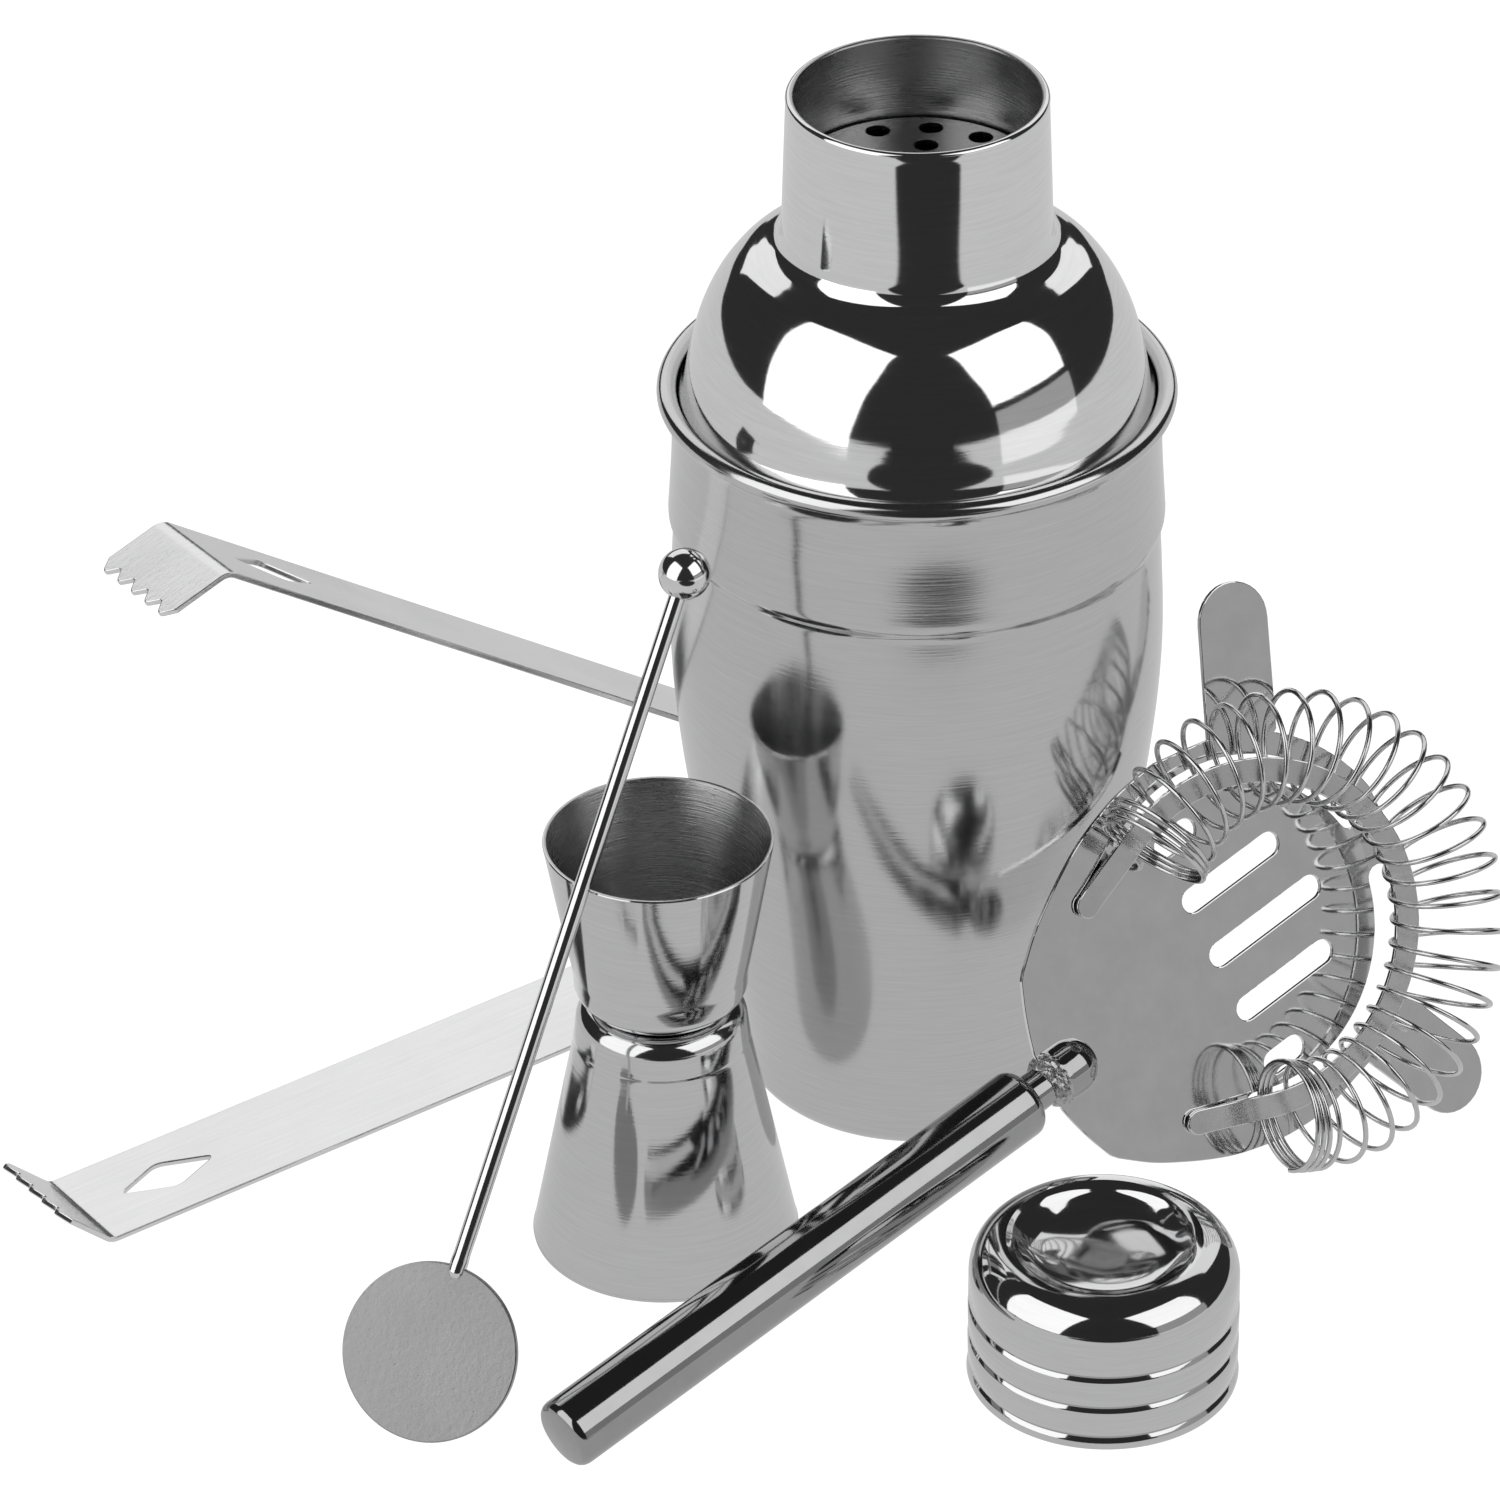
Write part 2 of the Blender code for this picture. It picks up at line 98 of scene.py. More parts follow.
HANDLE_LEAN = (-0.9975, 0.040, 0.058)
BOSS_AT = 40.5
TUBE_FROM = 50.6
TUBE_LENGTH = 105.4
TUBE_R = 6.2
PIN_R = 3.7

STIR_DISC = (-84.0, -105.7, 13.3)
STIR_DIR = (0.3225, 0.4535, 0.8305)
STIR_NORMAL = (-0.246, -0.830, 0.500)
STIR_DISC_R = 15.2
STIR_LENGTH = 137.2
STIR_ROD_R = 1.45
STIR_BALL_R = 4.45

TONGS_AT = (-141.2, -55.7)
TONGS_ANGLE = 36.0
TONGS_WIDTH = 21.2
TONGS_TH = 1.0
BOW_AT = 183.0
BOW_R = 9.0
FLANGE = 13.3
FOLD_R = 3.2
LOWER_FOLD = 44.0
UPPER_FOLD = 53.0
CREST = (31.3, 124.6)
TOOTH_COUNT = 5
CUT_AT = 18.0
CUT_LONG = 9.8
CUT_SHORT = 4.0

CAMERA_AT = (-0.029218, -1.088584, 0.754337)
CAMERA_DOWN = 32.3475
CAMERA_ROLL = -0.69
CAMERA_LENS = 175.8

TABLE_HALF = 4.0
TABLE_BELOW = 0.0002
TABLE_GLOW = 0.66
DARK_GLOW = 0.03
DARK_AT = (0.08, -6.28, 0.0)
DARK_SIZE = (1.1, 6.0, 1.0)
DARK_EDGE = 0.995


class TinLook(bpy.types.PropertyGroup):
    """Finish of the tin and the strainer top."""

    tin_rough: FloatProperty(
        name="Tin roughness", description="Satin haze of the tin", default=0.10, min=0.0, max=1.0,
    )
    dome_rough: FloatProperty(name="Dome roughness", description="Haze of the polished top", default=0.05)
    steps: IntProperty(name="Steps", description="Facets round the turned pieces", default=160, min=24)


class CoilLook(bpy.types.PropertyGroup):
    """Shape of the strainer's coil."""

    turns: FloatProperty(name="Turns", description="Turns of wire from end to end", default=31.0)
    closed: FloatProperty(
        name="Closed turns", description="Turns lying together at each end", default=3.0,
    )
    wire: FloatProperty(
        name="Wire radius", description="Half the wire's thickness", default=0.00048, unit="LENGTH",
    )
    radius: FloatProperty(
        name="Coil radius", description="Half the coil's width", default=0.0097, unit="LENGTH",
    )
    sweep: FloatProperty(
        name="Sweep", description="Half the arc the coil covers, in degrees", default=115.0,
    )


class StageLook(bpy.types.PropertyGroup):
    """Strengths of the studio lights."""

    left: FloatProperty(
        name="Left softbox", description="Power of the left softbox", default=9.5, unit="POWER",
    )
    right: FloatProperty(
        name="Right softbox", description="Power of the right softbox", default=5.6, unit="POWER",
    )
    back: FloatProperty(
        name="Back softbox", description="Power of the softbox behind", default=8.0, unit="POWER",
    )
    fill: FloatProperty(
        name="Right fill", description="Power of the dim card on the right", default=0.31, unit="POWER",
    )


# Shapes


def flow(points, per=6):
    """A smooth run of points through the given (radius, height) points."""
    made = []
    last = len(points) - 1
    for index in range(last):
        a = Vector(points[max(index - 1, 0)])
        b = Vector(points[index])
        c = Vector(points[index + 1])
        d = Vector(points[min(index + 2, last)])
        for step in range(per):
            t = step / per
            curve = (2 * a - 5 * b + 4 * c - d) * t * t + (3 * b - a - 3 * c + d) * t ** 3
            spot = 0.5 * (2 * b + (c - a) * t + curve)
            made.append((spot.x, spot.y))
    made.append(tuple(points[last]))
    return made


def arc(radius, start, stop, count, centre=(0.0, 0.0)):
    """Points round part of a circle, angles in degrees."""
    made = []
    for index in range(count + 1):
        angle = math.radians(start + (stop - start) * index / count)
        made.append((centre[0] + radius * math.cos(angle), centre[1] + radius * math.sin(angle)))
    return made


def place_in_scene(name, shape, finish, angle=SMOOTH_ANGLE):
    """Turn a bmesh into a finished object with smooth faces and crisp edges."""
    bmesh.ops.recalc_face_normals(shape, faces=shape.faces)
    for face in shape.faces:
        face.smooth = True
    for edge in shape.edges:
        edge.smooth = len(edge.link_faces) == 2 and edge.calc_face_angle(0.0) < angle
    mesh = bpy.data.meshes.new(name)
    shape.to_mesh(mesh)
    shape.free()
    piece = bpy.data.objects.new(name, mesh)
    bpy.context.scene.collection.objects.link(piece)
    for item in finish:
        mesh.materials.append(item)
    return piece


def hand_over(piece, body, slot, *nodes):
    """Tell the frame which body carries a piece and hide the nodes it stands for; the slot argument is not
    used.
    """
    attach(piece, body)
    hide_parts(*nodes)


def lathe_shape(outline, steps, place):
    """Spin an outline of (radius, height) millimetres a full turn about the vertical."""
    shape = bmesh.new()
    verts = [shape.verts.new((radius * MM, 0.0, height * MM)) for radius, height in outline]
    edges = [shape.edges.new(pair) for pair in zip(verts[:-1], verts[1:])]
    bmesh.ops.spin(
        shape, geom=verts + edges, cent=(0.0, 0.0, 0.0), axis=(0.0, 0.0, 1.0), dvec=(0.0, 0.0, 0.0),
        angle=math.tau, steps=steps, use_merge=True, use_duplicate=False,
    )
    bmesh.ops.remove_doubles(shape, verts=shape.verts, dist=2e-6)
    bmesh.ops.recalc_face_normals(shape, faces=shape.faces)
    bmesh.ops.transform(shape, matrix=place, verts=shape.verts)
    return shape


def lathe(name, outline, steps, finish, at=(0.0, 0.0), place=None, inner=None, angle=SMOOTH_ANGLE):
    """A turned piece. Faces for which inner(radius, height, outward) is true take the second finish."""
    where = place if place is not None else Matrix.Translation((at[0] * MM, at[1] * MM, 0.0))
    shape = lathe_shape(outline, steps, where)
    if inner is not None:
        back = where.inverted()
        for face in shape.faces:
            spot = back @ face.calc_center_median()
            normal = back.to_3x3() @ face.normal
            flat = Vector((spot.x, spot.y, 0.0))
            outward = normal.dot(flat.normalized()) if flat.length > 1e-7 else 0.0
            if inner(flat.length / MM, spot.z / MM, outward, normal.z):
                face.material_index = 1
    return place_in_scene(name, shape, finish, angle)


def aligned(start, heading):
    """Stand the vertical along a heading from a start point in millimetres."""
    run = Vector(heading).normalized()
    turn = run.to_track_quat("Z", "Y").to_matrix().to_4x4()
    return Matrix.Translation(Vector(start) * MM) @ turn


def sheet_shape(outlines, thick, edge=0.12):
    """A flat sheet cut to closed outlines with softened edges, as a bmesh."""
    data = bpy.data.curves.new("cut", "CURVE")
    data.dimensions = "2D"
    data.fill_mode = "BOTH"
    data.extrude = (thick / 2.0 - edge) * MM
    data.bevel_depth = edge * MM
    data.bevel_resolution = 1
    data.offset = -edge * MM
    for outline in outlines:
        run = data.splines.new("POLY")
        run.points.add(len(outline) - 1)
        for point, spot in zip(run.points, outline):
            point.co = (spot[0] * MM, spot[1] * MM, 0.0, 1.0)
        run.use_cyclic_u = True
    cut = bpy.data.objects.new("cut", data)
    bpy.context.scene.collection.objects.link(cut)
    view = bpy.context.evaluated_depsgraph_get()
    mesh = bpy.data.meshes.new_from_object(cut.evaluated_get(view))
    shape = bmesh.new()
    shape.from_mesh(mesh)
    bpy.data.objects.remove(cut)
    bpy.data.meshes.remove(mesh)
    bmesh.ops.remove_doubles(shape, verts=shape.verts, dist=1e-6)
    return shape


def cross_cuts(shape, spots):
    """Rows of points across a sheet at the given distances along it, so that it can bend there."""
    for spot in spots:
        everything = shape.verts[:] + shape.edges[:] + shape.faces[:]
        bmesh.ops.bisect_plane(
            shape, geom=everything, dist=1e-7, plane_co=(spot * MM, 0.0, 0.0), plane_no=(1.0, 0.0, 0.0),
        )


def plate_matrix(along=0.0, across=0.0, lift=0.0):
    """The strainer plate's frame: first axis to the far end, third up off its face."""
    run = Vector(PLATE_U).normalized()
    side = Vector(PLATE_V)
    side = (side - run * side.dot(run)).normalized()
    up = run.cross(side)
    place = Matrix((run, side, up)).transposed().to_4x4()
    place.translation = (Vector(PLATE_ORIGIN) + run * along + side * across + up * lift) * MM
    return place


# Finishes


def wire(tree, from_socket, to_socket):
    tree.links.new(from_socket, to_socket)


def grain_group():
    """Fine directional lines with a slow drift in strength, read from a stretched position."""
    group = bpy.data.node_groups.new("steel_grain", "ShaderNodeTree")
    group.interface.new_socket("Position", in_out="INPUT", socket_type="NodeSocketVector")
    for name, value in (("Scale", 400.0), ("Detail", 3.0)):
        made = group.interface.new_socket(name, in_out="INPUT", socket_type="NodeSocketFloat")
        made.default_value = value
    group.interface.new_socket("Lines", in_out="OUTPUT", socket_type="NodeSocketFloat")
    entry = group.nodes.new("NodeGroupInput")
    leave = group.nodes.new("NodeGroupOutput")
    noise = group.nodes.new("ShaderNodeTexNoise")
    noise.inputs["Roughness"].default_value = 0.62
    wire(group, entry.outputs["Position"], noise.inputs["Vector"])
    wire(group, entry.outputs["Scale"], noise.inputs["Scale"])
    wire(group, entry.outputs["Detail"], noise.inputs["Detail"])
    wire(group, noise.outputs["Fac"], leave.inputs["Lines"])
    return group


def smudge_group():
    """Soft patches left by handling and polishing, from 0 to 1."""
    group = bpy.data.node_groups.new("steel_smudges", "ShaderNodeTree")
    group.interface.new_socket("Position", in_out="INPUT", socket_type="NodeSocketVector")
    made = group.interface.new_socket("Scale", in_out="INPUT", socket_type="NodeSocketFloat")
    made.default_value = 40.0
    group.interface.new_socket("Patches", in_out="OUTPUT", socket_type="NodeSocketFloat")
    group.interface.new_socket("Specks", in_out="OUTPUT", socket_type="NodeSocketFloat")
    entry = group.nodes.new("NodeGroupInput")
    leave = group.nodes.new("NodeGroupOutput")
    broad = group.nodes.new("ShaderNodeTexNoise")
    broad.inputs["Detail"].default_value = 4.0
    broad.inputs["Distortion"].default_value = 0.6
    ramp = group.nodes.new("ShaderNodeMapRange")
    ramp.inputs["From Min"].default_value = 0.38
    ramp.inputs["From Max"].default_value = 0.68
    fine = group.nodes.new("ShaderNodeTexNoise")
    fine.inputs["Scale"].default_value = 1400.0
    fine.inputs["Detail"].default_value = 2.0
    specks = group.nodes.new("ShaderNodeMapRange")
    specks.inputs["From Min"].default_value = 0.66
    specks.inputs["From Max"].default_value = 0.74
    wire(group, entry.outputs["Position"], broad.inputs["Vector"])
    wire(group, entry.outputs["Scale"], broad.inputs["Scale"])
    wire(group, broad.outputs["Fac"], ramp.inputs["Value"])
    wire(group, ramp.outputs["Result"], leave.inputs["Patches"])
    wire(group, entry.outputs["Position"], fine.inputs["Vector"])
    wire(group, fine.outputs["Fac"], specks.inputs["Value"])
    wire(group, specks.outputs["Result"], leave.inputs["Specks"])
    return group


def shared(name, maker):
    """The named node group, made the first time it is asked for."""
    found = bpy.data.node_groups.get(name)
    return found if found is not None else maker()


def steel(
    name, tone, rough, spread=0.05, stretch=(1.0, 1.0, 1.0), turn=0.0, centre=(0.0, 0.0), lines=500.0,
    depth=0.02,
):
    """A steel finish: tone, base roughness and its spread, and the direction and depth of its lines."""
    found = bpy.data.materials.get(name)
    if found is not None:
        return found
    made = bpy.data.materials.new(name)
    made.use_nodes = True
    tree = made.node_tree
    shader = tree.nodes["Principled BSDF"]
    shader.inputs["Metallic"].default_value = 1.0
    spot = tree.nodes.new("ShaderNodeTexCoord")
    aim = tree.nodes.new("ShaderNodeMapping")
    aim.vector_type = "TEXTURE"
    aim.inputs["Location"].default_value = (centre[0] * MM, centre[1] * MM, 0.0)
    aim.inputs["Rotation"].default_value = (0.0, 0.0, turn)
    pull = tree.nodes.new("ShaderNodeMapping")
    pull.inputs["Scale"].default_value = stretch
    grain = tree.nodes.new("ShaderNodeGroup")
    grain.node_tree = shared("steel_grain", grain_group)
    grain.inputs["Scale"].default_value = lines
    smudge = tree.nodes.new("ShaderNodeGroup")
    smudge.node_tree = shared("steel_smudges", smudge_group)
    wire(tree, spot.outputs["Object"], aim.inputs["Vector"])
    wire(tree, aim.outputs["Vector"], pull.inputs["Vector"])
    wire(tree, pull.outputs["Vector"], grain.inputs["Position"])
    wire(tree, spot.outputs["Object"], smudge.inputs["Position"])
    mixed = tree.nodes.new("ShaderNodeMath")
    mixed.operation = "MULTIPLY_ADD"
    mixed.inputs[1].default_value = 0.45
    wire(tree, smudge.outputs["Patches"], mixed.inputs[0])
    wire(tree, grain.outputs["Lines"], mixed.inputs[2])
    haze = tree.nodes.new("ShaderNodeMapRange")
    haze.inputs["From Min"].default_value = 0.3
    haze.inputs["From Max"].default_value = 1.1
    haze.inputs["To Min"].default_value = rough
    haze.inputs["To Max"].default_value = rough + spread
    wire(tree, mixed.outputs[0], haze.inputs["Value"])
    wire(tree, haze.outputs["Result"], shader.inputs["Roughness"])
    shade = tree.nodes.new("ShaderNodeValToRGB")
    shade.color_ramp.elements[0].position = 0.25
    shade.color_ramp.elements[0].color = (tone * 0.90, tone * 0.90, tone * 0.905, 1.0)
    shade.color_ramp.elements[1].position = 0.8
    shade.color_ramp.elements[1].color = (tone, tone, tone * 1.005, 1.0)
    wire(tree, grain.outputs["Lines"], shade.inputs["Fac"])
    wire(tree, shade.outputs["Color"], shader.inputs["Base Color"])
    height = tree.nodes.new("ShaderNodeMath")
    height.operation = "MULTIPLY_ADD"
    height.inputs[1].default_value = -0.35
    wire(tree, smudge.outputs["Specks"], height.inputs[0])
    wire(tree, grain.outputs["Lines"], height.inputs[2])
    bump = tree.nodes.new("ShaderNodeBump")
    bump.inputs["Strength"].default_value = depth
    bump.inputs["Distance"].default_value = 0.0002
    wire(tree, height.outputs[0], bump.inputs["Height"])
    wire(tree, bump.outputs["Normal"], shader.inputs["Normal"])
    return made


# Shaker


def tin_outline():
    """Inside floor, up the inside, over the bead and down the outside to the base."""
    inner = [(0.0, 0.9), (20.0, 0.9)] + flow([(26.2, 1.0), (28.6, 2.0), (30.3, 5.6), (31.2, 12.0)], 5)
    inner += flow([(35.1, 37.2), (38.9, 58.7), (40.5, 70.0), (41.6, 82.0), (41.9, 93.0), (41.4, 105.2)], 6)
    inner += [(41.1, 112.0), (41.2, 113.4), (41.5, 116.0)] + flow([(41.3, 126.5), (41.2, 136.6)], 4)
    bead = arc(1.7, 176.0, -84.0, 22, (42.75, 138.0))
    upper = flow([(42.45, 135.9), (42.1, 134.6), (42.0, 132.6), (42.05, 127.0), (42.5, 119.5),
                  (42.75, 116.0)], 5)
    band = [(42.8, 115.2), (42.78, 114.5), (42.6, 113.9), (42.2, 113.4), (41.98, 112.8)]
    barrel = flow([(41.95, 112.2), (42.35, 105.2), (42.8, 93.0), (42.5, 82.0), (41.4, 70.0), (39.8, 58.5),
                   (36.0, 37.0), (31.5, 9.6)], 8)
    foot = arc(5.0, -8.0, -90.0, 10, (26.4, 5.0))
    return inner + bead + upper + band + barrel + foot + [(12.0, 0.0), (0.0, 0.0)]


def dome_outline():
    """Round the rolled lip, down the outside, and back up the inside."""
    lip = arc(0.75, 150.0, 0.0, 10, (21.4, 193.2))
    outer = flow([(22.1, 192.4), (22.5, 182.0), (22.9, 171.5), (23.15, 168.6), (23.8, 166.9), (25.0, 165.8),
                  (27.0, 164.7), (29.4, 163.2), (32.0, 160.6), (34.9, 156.3), (37.2, 151.0), (38.8, 145.0),
                  (39.6, 141.2), (40.1, 139.4), (40.75, 138.1)], 7)
    skirt = flow([(40.8, 135.0), (40.8, 131.0), (40.8, 127.2)], 4) + [(40.6, 127.0), (40.0, 127.2)]
    inner = flow([(40.0, 131.0), (39.9, 137.6), (39.3, 139.2), (38.8, 141.4), (38.0, 144.8), (36.4, 150.6),
                  (34.2, 155.6), (31.4, 159.9), (28.8, 162.4), (26.3, 164.0), (24.2, 165.2), (22.9, 166.8),
                  (22.3, 168.6), (22.0, 171.5), (21.7, 182.0)], 6)
    return lip + outer + skirt + inner + [(20.75, 193.2), lip[0]]


def build_tin(look):
    """The body tin, satin outside and turned inside."""
    satin = steel("tin_satin", 0.62, look.tin_rough, 0.07, (1.0, 1.0, 30.0), lines=90.0, depth=0.05)
    inside = steel("tin_inside", 0.60, 0.24, 0.1, (1.0, 1.0, 40.0), lines=120.0, depth=0.12)
    piece = lathe("shaker_tin_look", tin_outline(), look.steps, (satin, inside),
                  inner=lambda r, z, out, up: out < -0.1)
    hand_over(piece, "tin", "tin_steel", "shaker_tin")


def build_dome(look):
    """The strainer top and the pierced disc across its neck."""
    mirror = steel("dome_mirror", 0.80, look.dome_rough, 0.03, (1.0, 1.0, 20.0), lines=90.0, depth=0.012)
    inside = steel("neck_inside", 0.50, 0.20, 0.16, (1.0, 1.0, 60.0), lines=75.0, depth=0.35)
    piece = lathe("strainer_dome_look", dome_outline(), look.steps, (mirror, inside),
                  inner=lambda r, z, out, up: out < -0.1 and r < 22.9)
    hand_over(piece, "strainer_top", "polished_steel", "strainer_dome")
    holes = [arc(SIEVE_R, 0.0, 357.0, 119), arc(SIEVE_HOLE_R, 0.0, 345.0, 23)]
    for count, share in SIEVE_RINGS:
        for index in range(count):
            centre = arc(SIEVE_R * share, SIEVE_TURN + 360.0 * index / count, 0.0, 1)[0]
            holes.append(arc(SIEVE_HOLE_R, 0.0, 345.0, 23, centre))
    shape = sheet_shape(holes, SHEET, 0.1)
    bmesh.ops.transform(shape, matrix=Matrix.Translation((0.0, 0.0, SIEVE_Z * MM)), verts=shape.verts)
    pierced = steel("sieve_steel", 0.55, 0.22, 0.1, lines=300.0)
    disc = place_in_scene("sieve_disc_look", shape, (pierced,), FLAT_ANGLE)
    hand_over(disc, "strainer_top", "brushed_steel", "sieve_disc")


def build_cap():
    """The cap with its sunken top and three turned grooves."""
    top = flow([(0.0, 22.4), (4.0, 22.5), (8.0, 22.95), (11.5, 23.9), (14.2, 25.5), (15.4, 26.5),
                (16.6, 27.1)], 6)
    shoulder = arc(6.8, 80.0, 2.0, 16, (16.05, 20.3))
    side = []
    for low in (14.5, 8.2, 2.1):
        side += [(22.87, low + 0.75), (22.75, low + 0.55), (22.45, low)]
        side += [(22.8, low - 0.5), (22.95, low - 0.75)]
    outer = top + shoulder + side + [(23.1, 0.5), (23.0, 0.1), (22.8, 0.0)]
    inner = [(22.1, 0.0), (21.9, 0.3), (21.8, 15.0)]
    inner += flow([(21.6, 20.2), (20.2, 23.6), (16.6, 25.9), (14.6, 25.0), (11.2, 22.9), (6.2, 21.8),
                   (0.0, 21.5)], 4)
    mirror = steel("cap_mirror", 0.68, 0.05, 0.03, (1.0, 1.0, 20.0), centre=CAP_AT, lines=90.0, depth=0.012)
    inside = steel("cap_inside", 0.6, 0.25, 0.1, (1.0, 1.0, 40.0), centre=CAP_AT, lines=90.0, depth=0.2)
    piece = lathe("cap_look", outer + inner, CUP_STEPS, (mirror, inside), CAP_AT,
                  inner=lambda r, z, out, up: out < -0.3 and z < 21.0)
    hand_over(piece, "cap", "polished_steel", "cap")


def build_jigger():
    """Two spun cups joined back to back at the waist."""
    turned = steel("cup_inside", 0.50, 0.17, 0.16, (1.0, 1.0, 60.0), centre=JIGGER_AT, lines=70.0, depth=0.4)
    mirror = steel(
        "jigger_mirror", 0.66, 0.07, 0.04, (1.0, 1.0, 24.0), centre=JIGGER_AT, lines=90.0, depth=0.03,
    )
    outer = [(19.0, 80.3), (19.3, 80.36), (19.5, 80.3), (19.62, 80.1)]
    outer += flow([(19.3, 78.4), (16.6, 62.8), (15.0, 54.2)], 5) + arc(4.6, -12.0, -90.0, 9, (10.4, 52.6))
    outer += [(0.0, 48.0)]
    inner = [(0.0, 48.9)] + flow([(10.2, 48.95), (12.2, 49.8), (13.5, 52.2), (14.0, 54.4), (15.75, 62.9)], 5)
    inner += [(18.75, 79.8)]
    cup = lathe("jigger_small_cup_look", inner + outer, CUP_STEPS, (mirror, turned), JIGGER_AT,
                inner=lambda r, z, out, up: out < -0.1 or (up > 0.5 and z < 60.0))
    hand_over(cup, "jigger", "polished_steel", "jigger_small_cup")
    outer = [(0.0, 47.6), (10.0, 47.6)] + arc(3.6, 88.0, 8.0, 9, (11.2, 44.0))
    outer += flow([(15.2, 41.0), (16.05, 36.0), (22.2, 4.9), (23.15, 0.5)], 6) + [(23.1, 0.1), (22.9, 0.0)]
    inner = [(22.4, 0.0), (22.25, 0.3), (21.4, 4.9), (15.2, 36.0), (13.9, 43.0), (12.6, 46.0), (10.6, 46.7)]
    inner += [(0.0, 46.7)]
    cone = lathe("jigger_large_cup_look", outer + inner, CUP_STEPS, (mirror, turned), JIGGER_AT,
                 inner=lambda r, z, out, up: out < -0.1)
    hand_over(cone, "jigger", "polished_steel", "jigger_large_cup")


# Strainer


def ear_side(sign, reach):
    """Half the plate's edge, from the far end round one ear to the handle end."""
    run = math.radians(EAR_ANGLE)
    along = Vector((math.cos(run), math.sin(run)))
    across = Vector((-along.y, along.x))
    base = Vector((EAR_SHIFT, 0.0))
    foot = math.sqrt(RING_R ** 2 - 9.0) - 2.0
    near = base + along * foot - across * 7.1
    far = base + along * foot + across * 7.1
    tip = base + along * reach
    edge = arc(RING_R - 0.8, 0.0, 8.0, 3) + arc(RING_R, 14.0, 50.0, 14) + [(near.x, near.y)]
    for index in range(17):
        turn = math.radians(-90.0 + 180.0 * index / 16.0)
        spot = tip + (along * math.cos(turn) + across * math.sin(turn)) * EAR_W
        edge.append((spot.x, spot.y))
    edge.append((far.x, far.y))
    edge += flow([(0.0, 36.4), (-5.0, 36.2), (-10.0, 35.6), (-15.0, 34.3), (-20.0, 32.6), (-25.0, 30.2),
                  (-30.0, 27.3), (-35.0, 24.0), (-40.2, 19.5)], 4)
    edge += flow([(-41.2, 18.3), (-43.2, 13.4), (-44.6, 9.0), (-45.4, 5.8)], 4)
    return [(u, v * sign) for u, v in edge]


def window(sign):
    """One curved window between the plate's middle and its ring, with round ends."""
    low, high, start, stop = WINDOW
    middle = (low + high) / 2.0
    half = (high - low) / 2.0
    outline = arc(high, start, stop, 40)
    centre = arc(middle, stop, 0.0, 1)[0]
    outline += arc(half, stop + 20.0, stop + 160.0, 6, centre)
    outline += arc(low, stop, start, 40)
    centre = arc(middle, start, 0.0, 1)[0]
    outline += arc(half, start + 200.0, start + 340.0, 6, centre)
    return [(u, v * sign) for u, v in outline]


def build_plate():
    """The plate with its two ears, curved windows and slots."""
    edge = ear_side(1.0, EAR_LENGTHS[0])
    other = list(reversed(ear_side(-1.0, EAR_LENGTHS[1])[1:]))
    outlines = [edge + other, window(1.0), window(-1.0)]
    for across, stop in SLOTS:
        far = arc(SLOT_HALF, -90.0, 90.0, 10, (stop - SLOT_HALF, across))
        near = arc(SLOT_HALF, 90.0, 270.0, 10, (SLOT_START + SLOT_HALF, across))
        outlines.append(far + near)
    shape = sheet_shape(outlines, SHEET, 0.14)
    bmesh.ops.transform(shape, matrix=plate_matrix(), verts=shape.verts)
    mirror = steel("plate_mirror", 0.80, 0.05, 0.05, lines=160.0, depth=0.012)
    piece = place_in_scene("strainer_plate_look", shape, (mirror,), FLAT_ANGLE)
    hand_over(piece, "strainer", "polished_steel", "strainer_plate")


def strip_height(along):
    """Height of the guide strip's middle above the plate's middle."""
    rest = SHEET / 2.0 + GAP + STRIP_TH / 2.0
    return rest if along < STRIP_BEND_AT else rest + (along - STRIP_BEND_AT) * STRIP_SLOPE


def build_strip():
    """The C-shaped strip that rises off the plate inside the coil."""
    outer = arc(STRIP_R + STRIP_HALF, -STRIP_SWEEP, STRIP_SWEEP, 90)
    inner = arc(STRIP_R - STRIP_HALF, STRIP_SWEEP, -STRIP_SWEEP, 90)
    heading = math.radians(STRIP_SWEEP + 90.0)
    ends = []
    for sign in (1.0, -1.0):
        middle = arc(STRIP_R, STRIP_SWEEP * sign, 0.0, 1)[0]
        step = Vector((math.cos(heading), math.sin(heading) * sign)) * STRIP_TAIL
        centre = Vector(middle) + step
        facing = math.degrees(math.atan2(step.y, step.x))
        ends.append(arc(STRIP_HALF, facing - 90.0 * sign, facing + 90.0 * sign, 12, centre))
    shape = sheet_shape([outer + ends[0] + inner + list(reversed(ends[1]))], STRIP_TH, 0.18)
    cross_cuts(shape, (STRIP_BEND_AT - 2.0, STRIP_BEND_AT, STRIP_BEND_AT + 2.0))
    for vert in shape.verts:
        vert.co.z += strip_height(vert.co.x / MM) * MM
    bmesh.ops.transform(shape, matrix=plate_matrix(), verts=shape.verts)
    mirror = steel("strip_mirror", 0.74, 0.10, 0.06, lines=260.0, depth=0.03)
    piece = place_in_scene("guide_strip_look", shape, (mirror,), FLAT_ANGLE)
    hand_over(piece, "strainer", "polished_steel", "guide_strip")


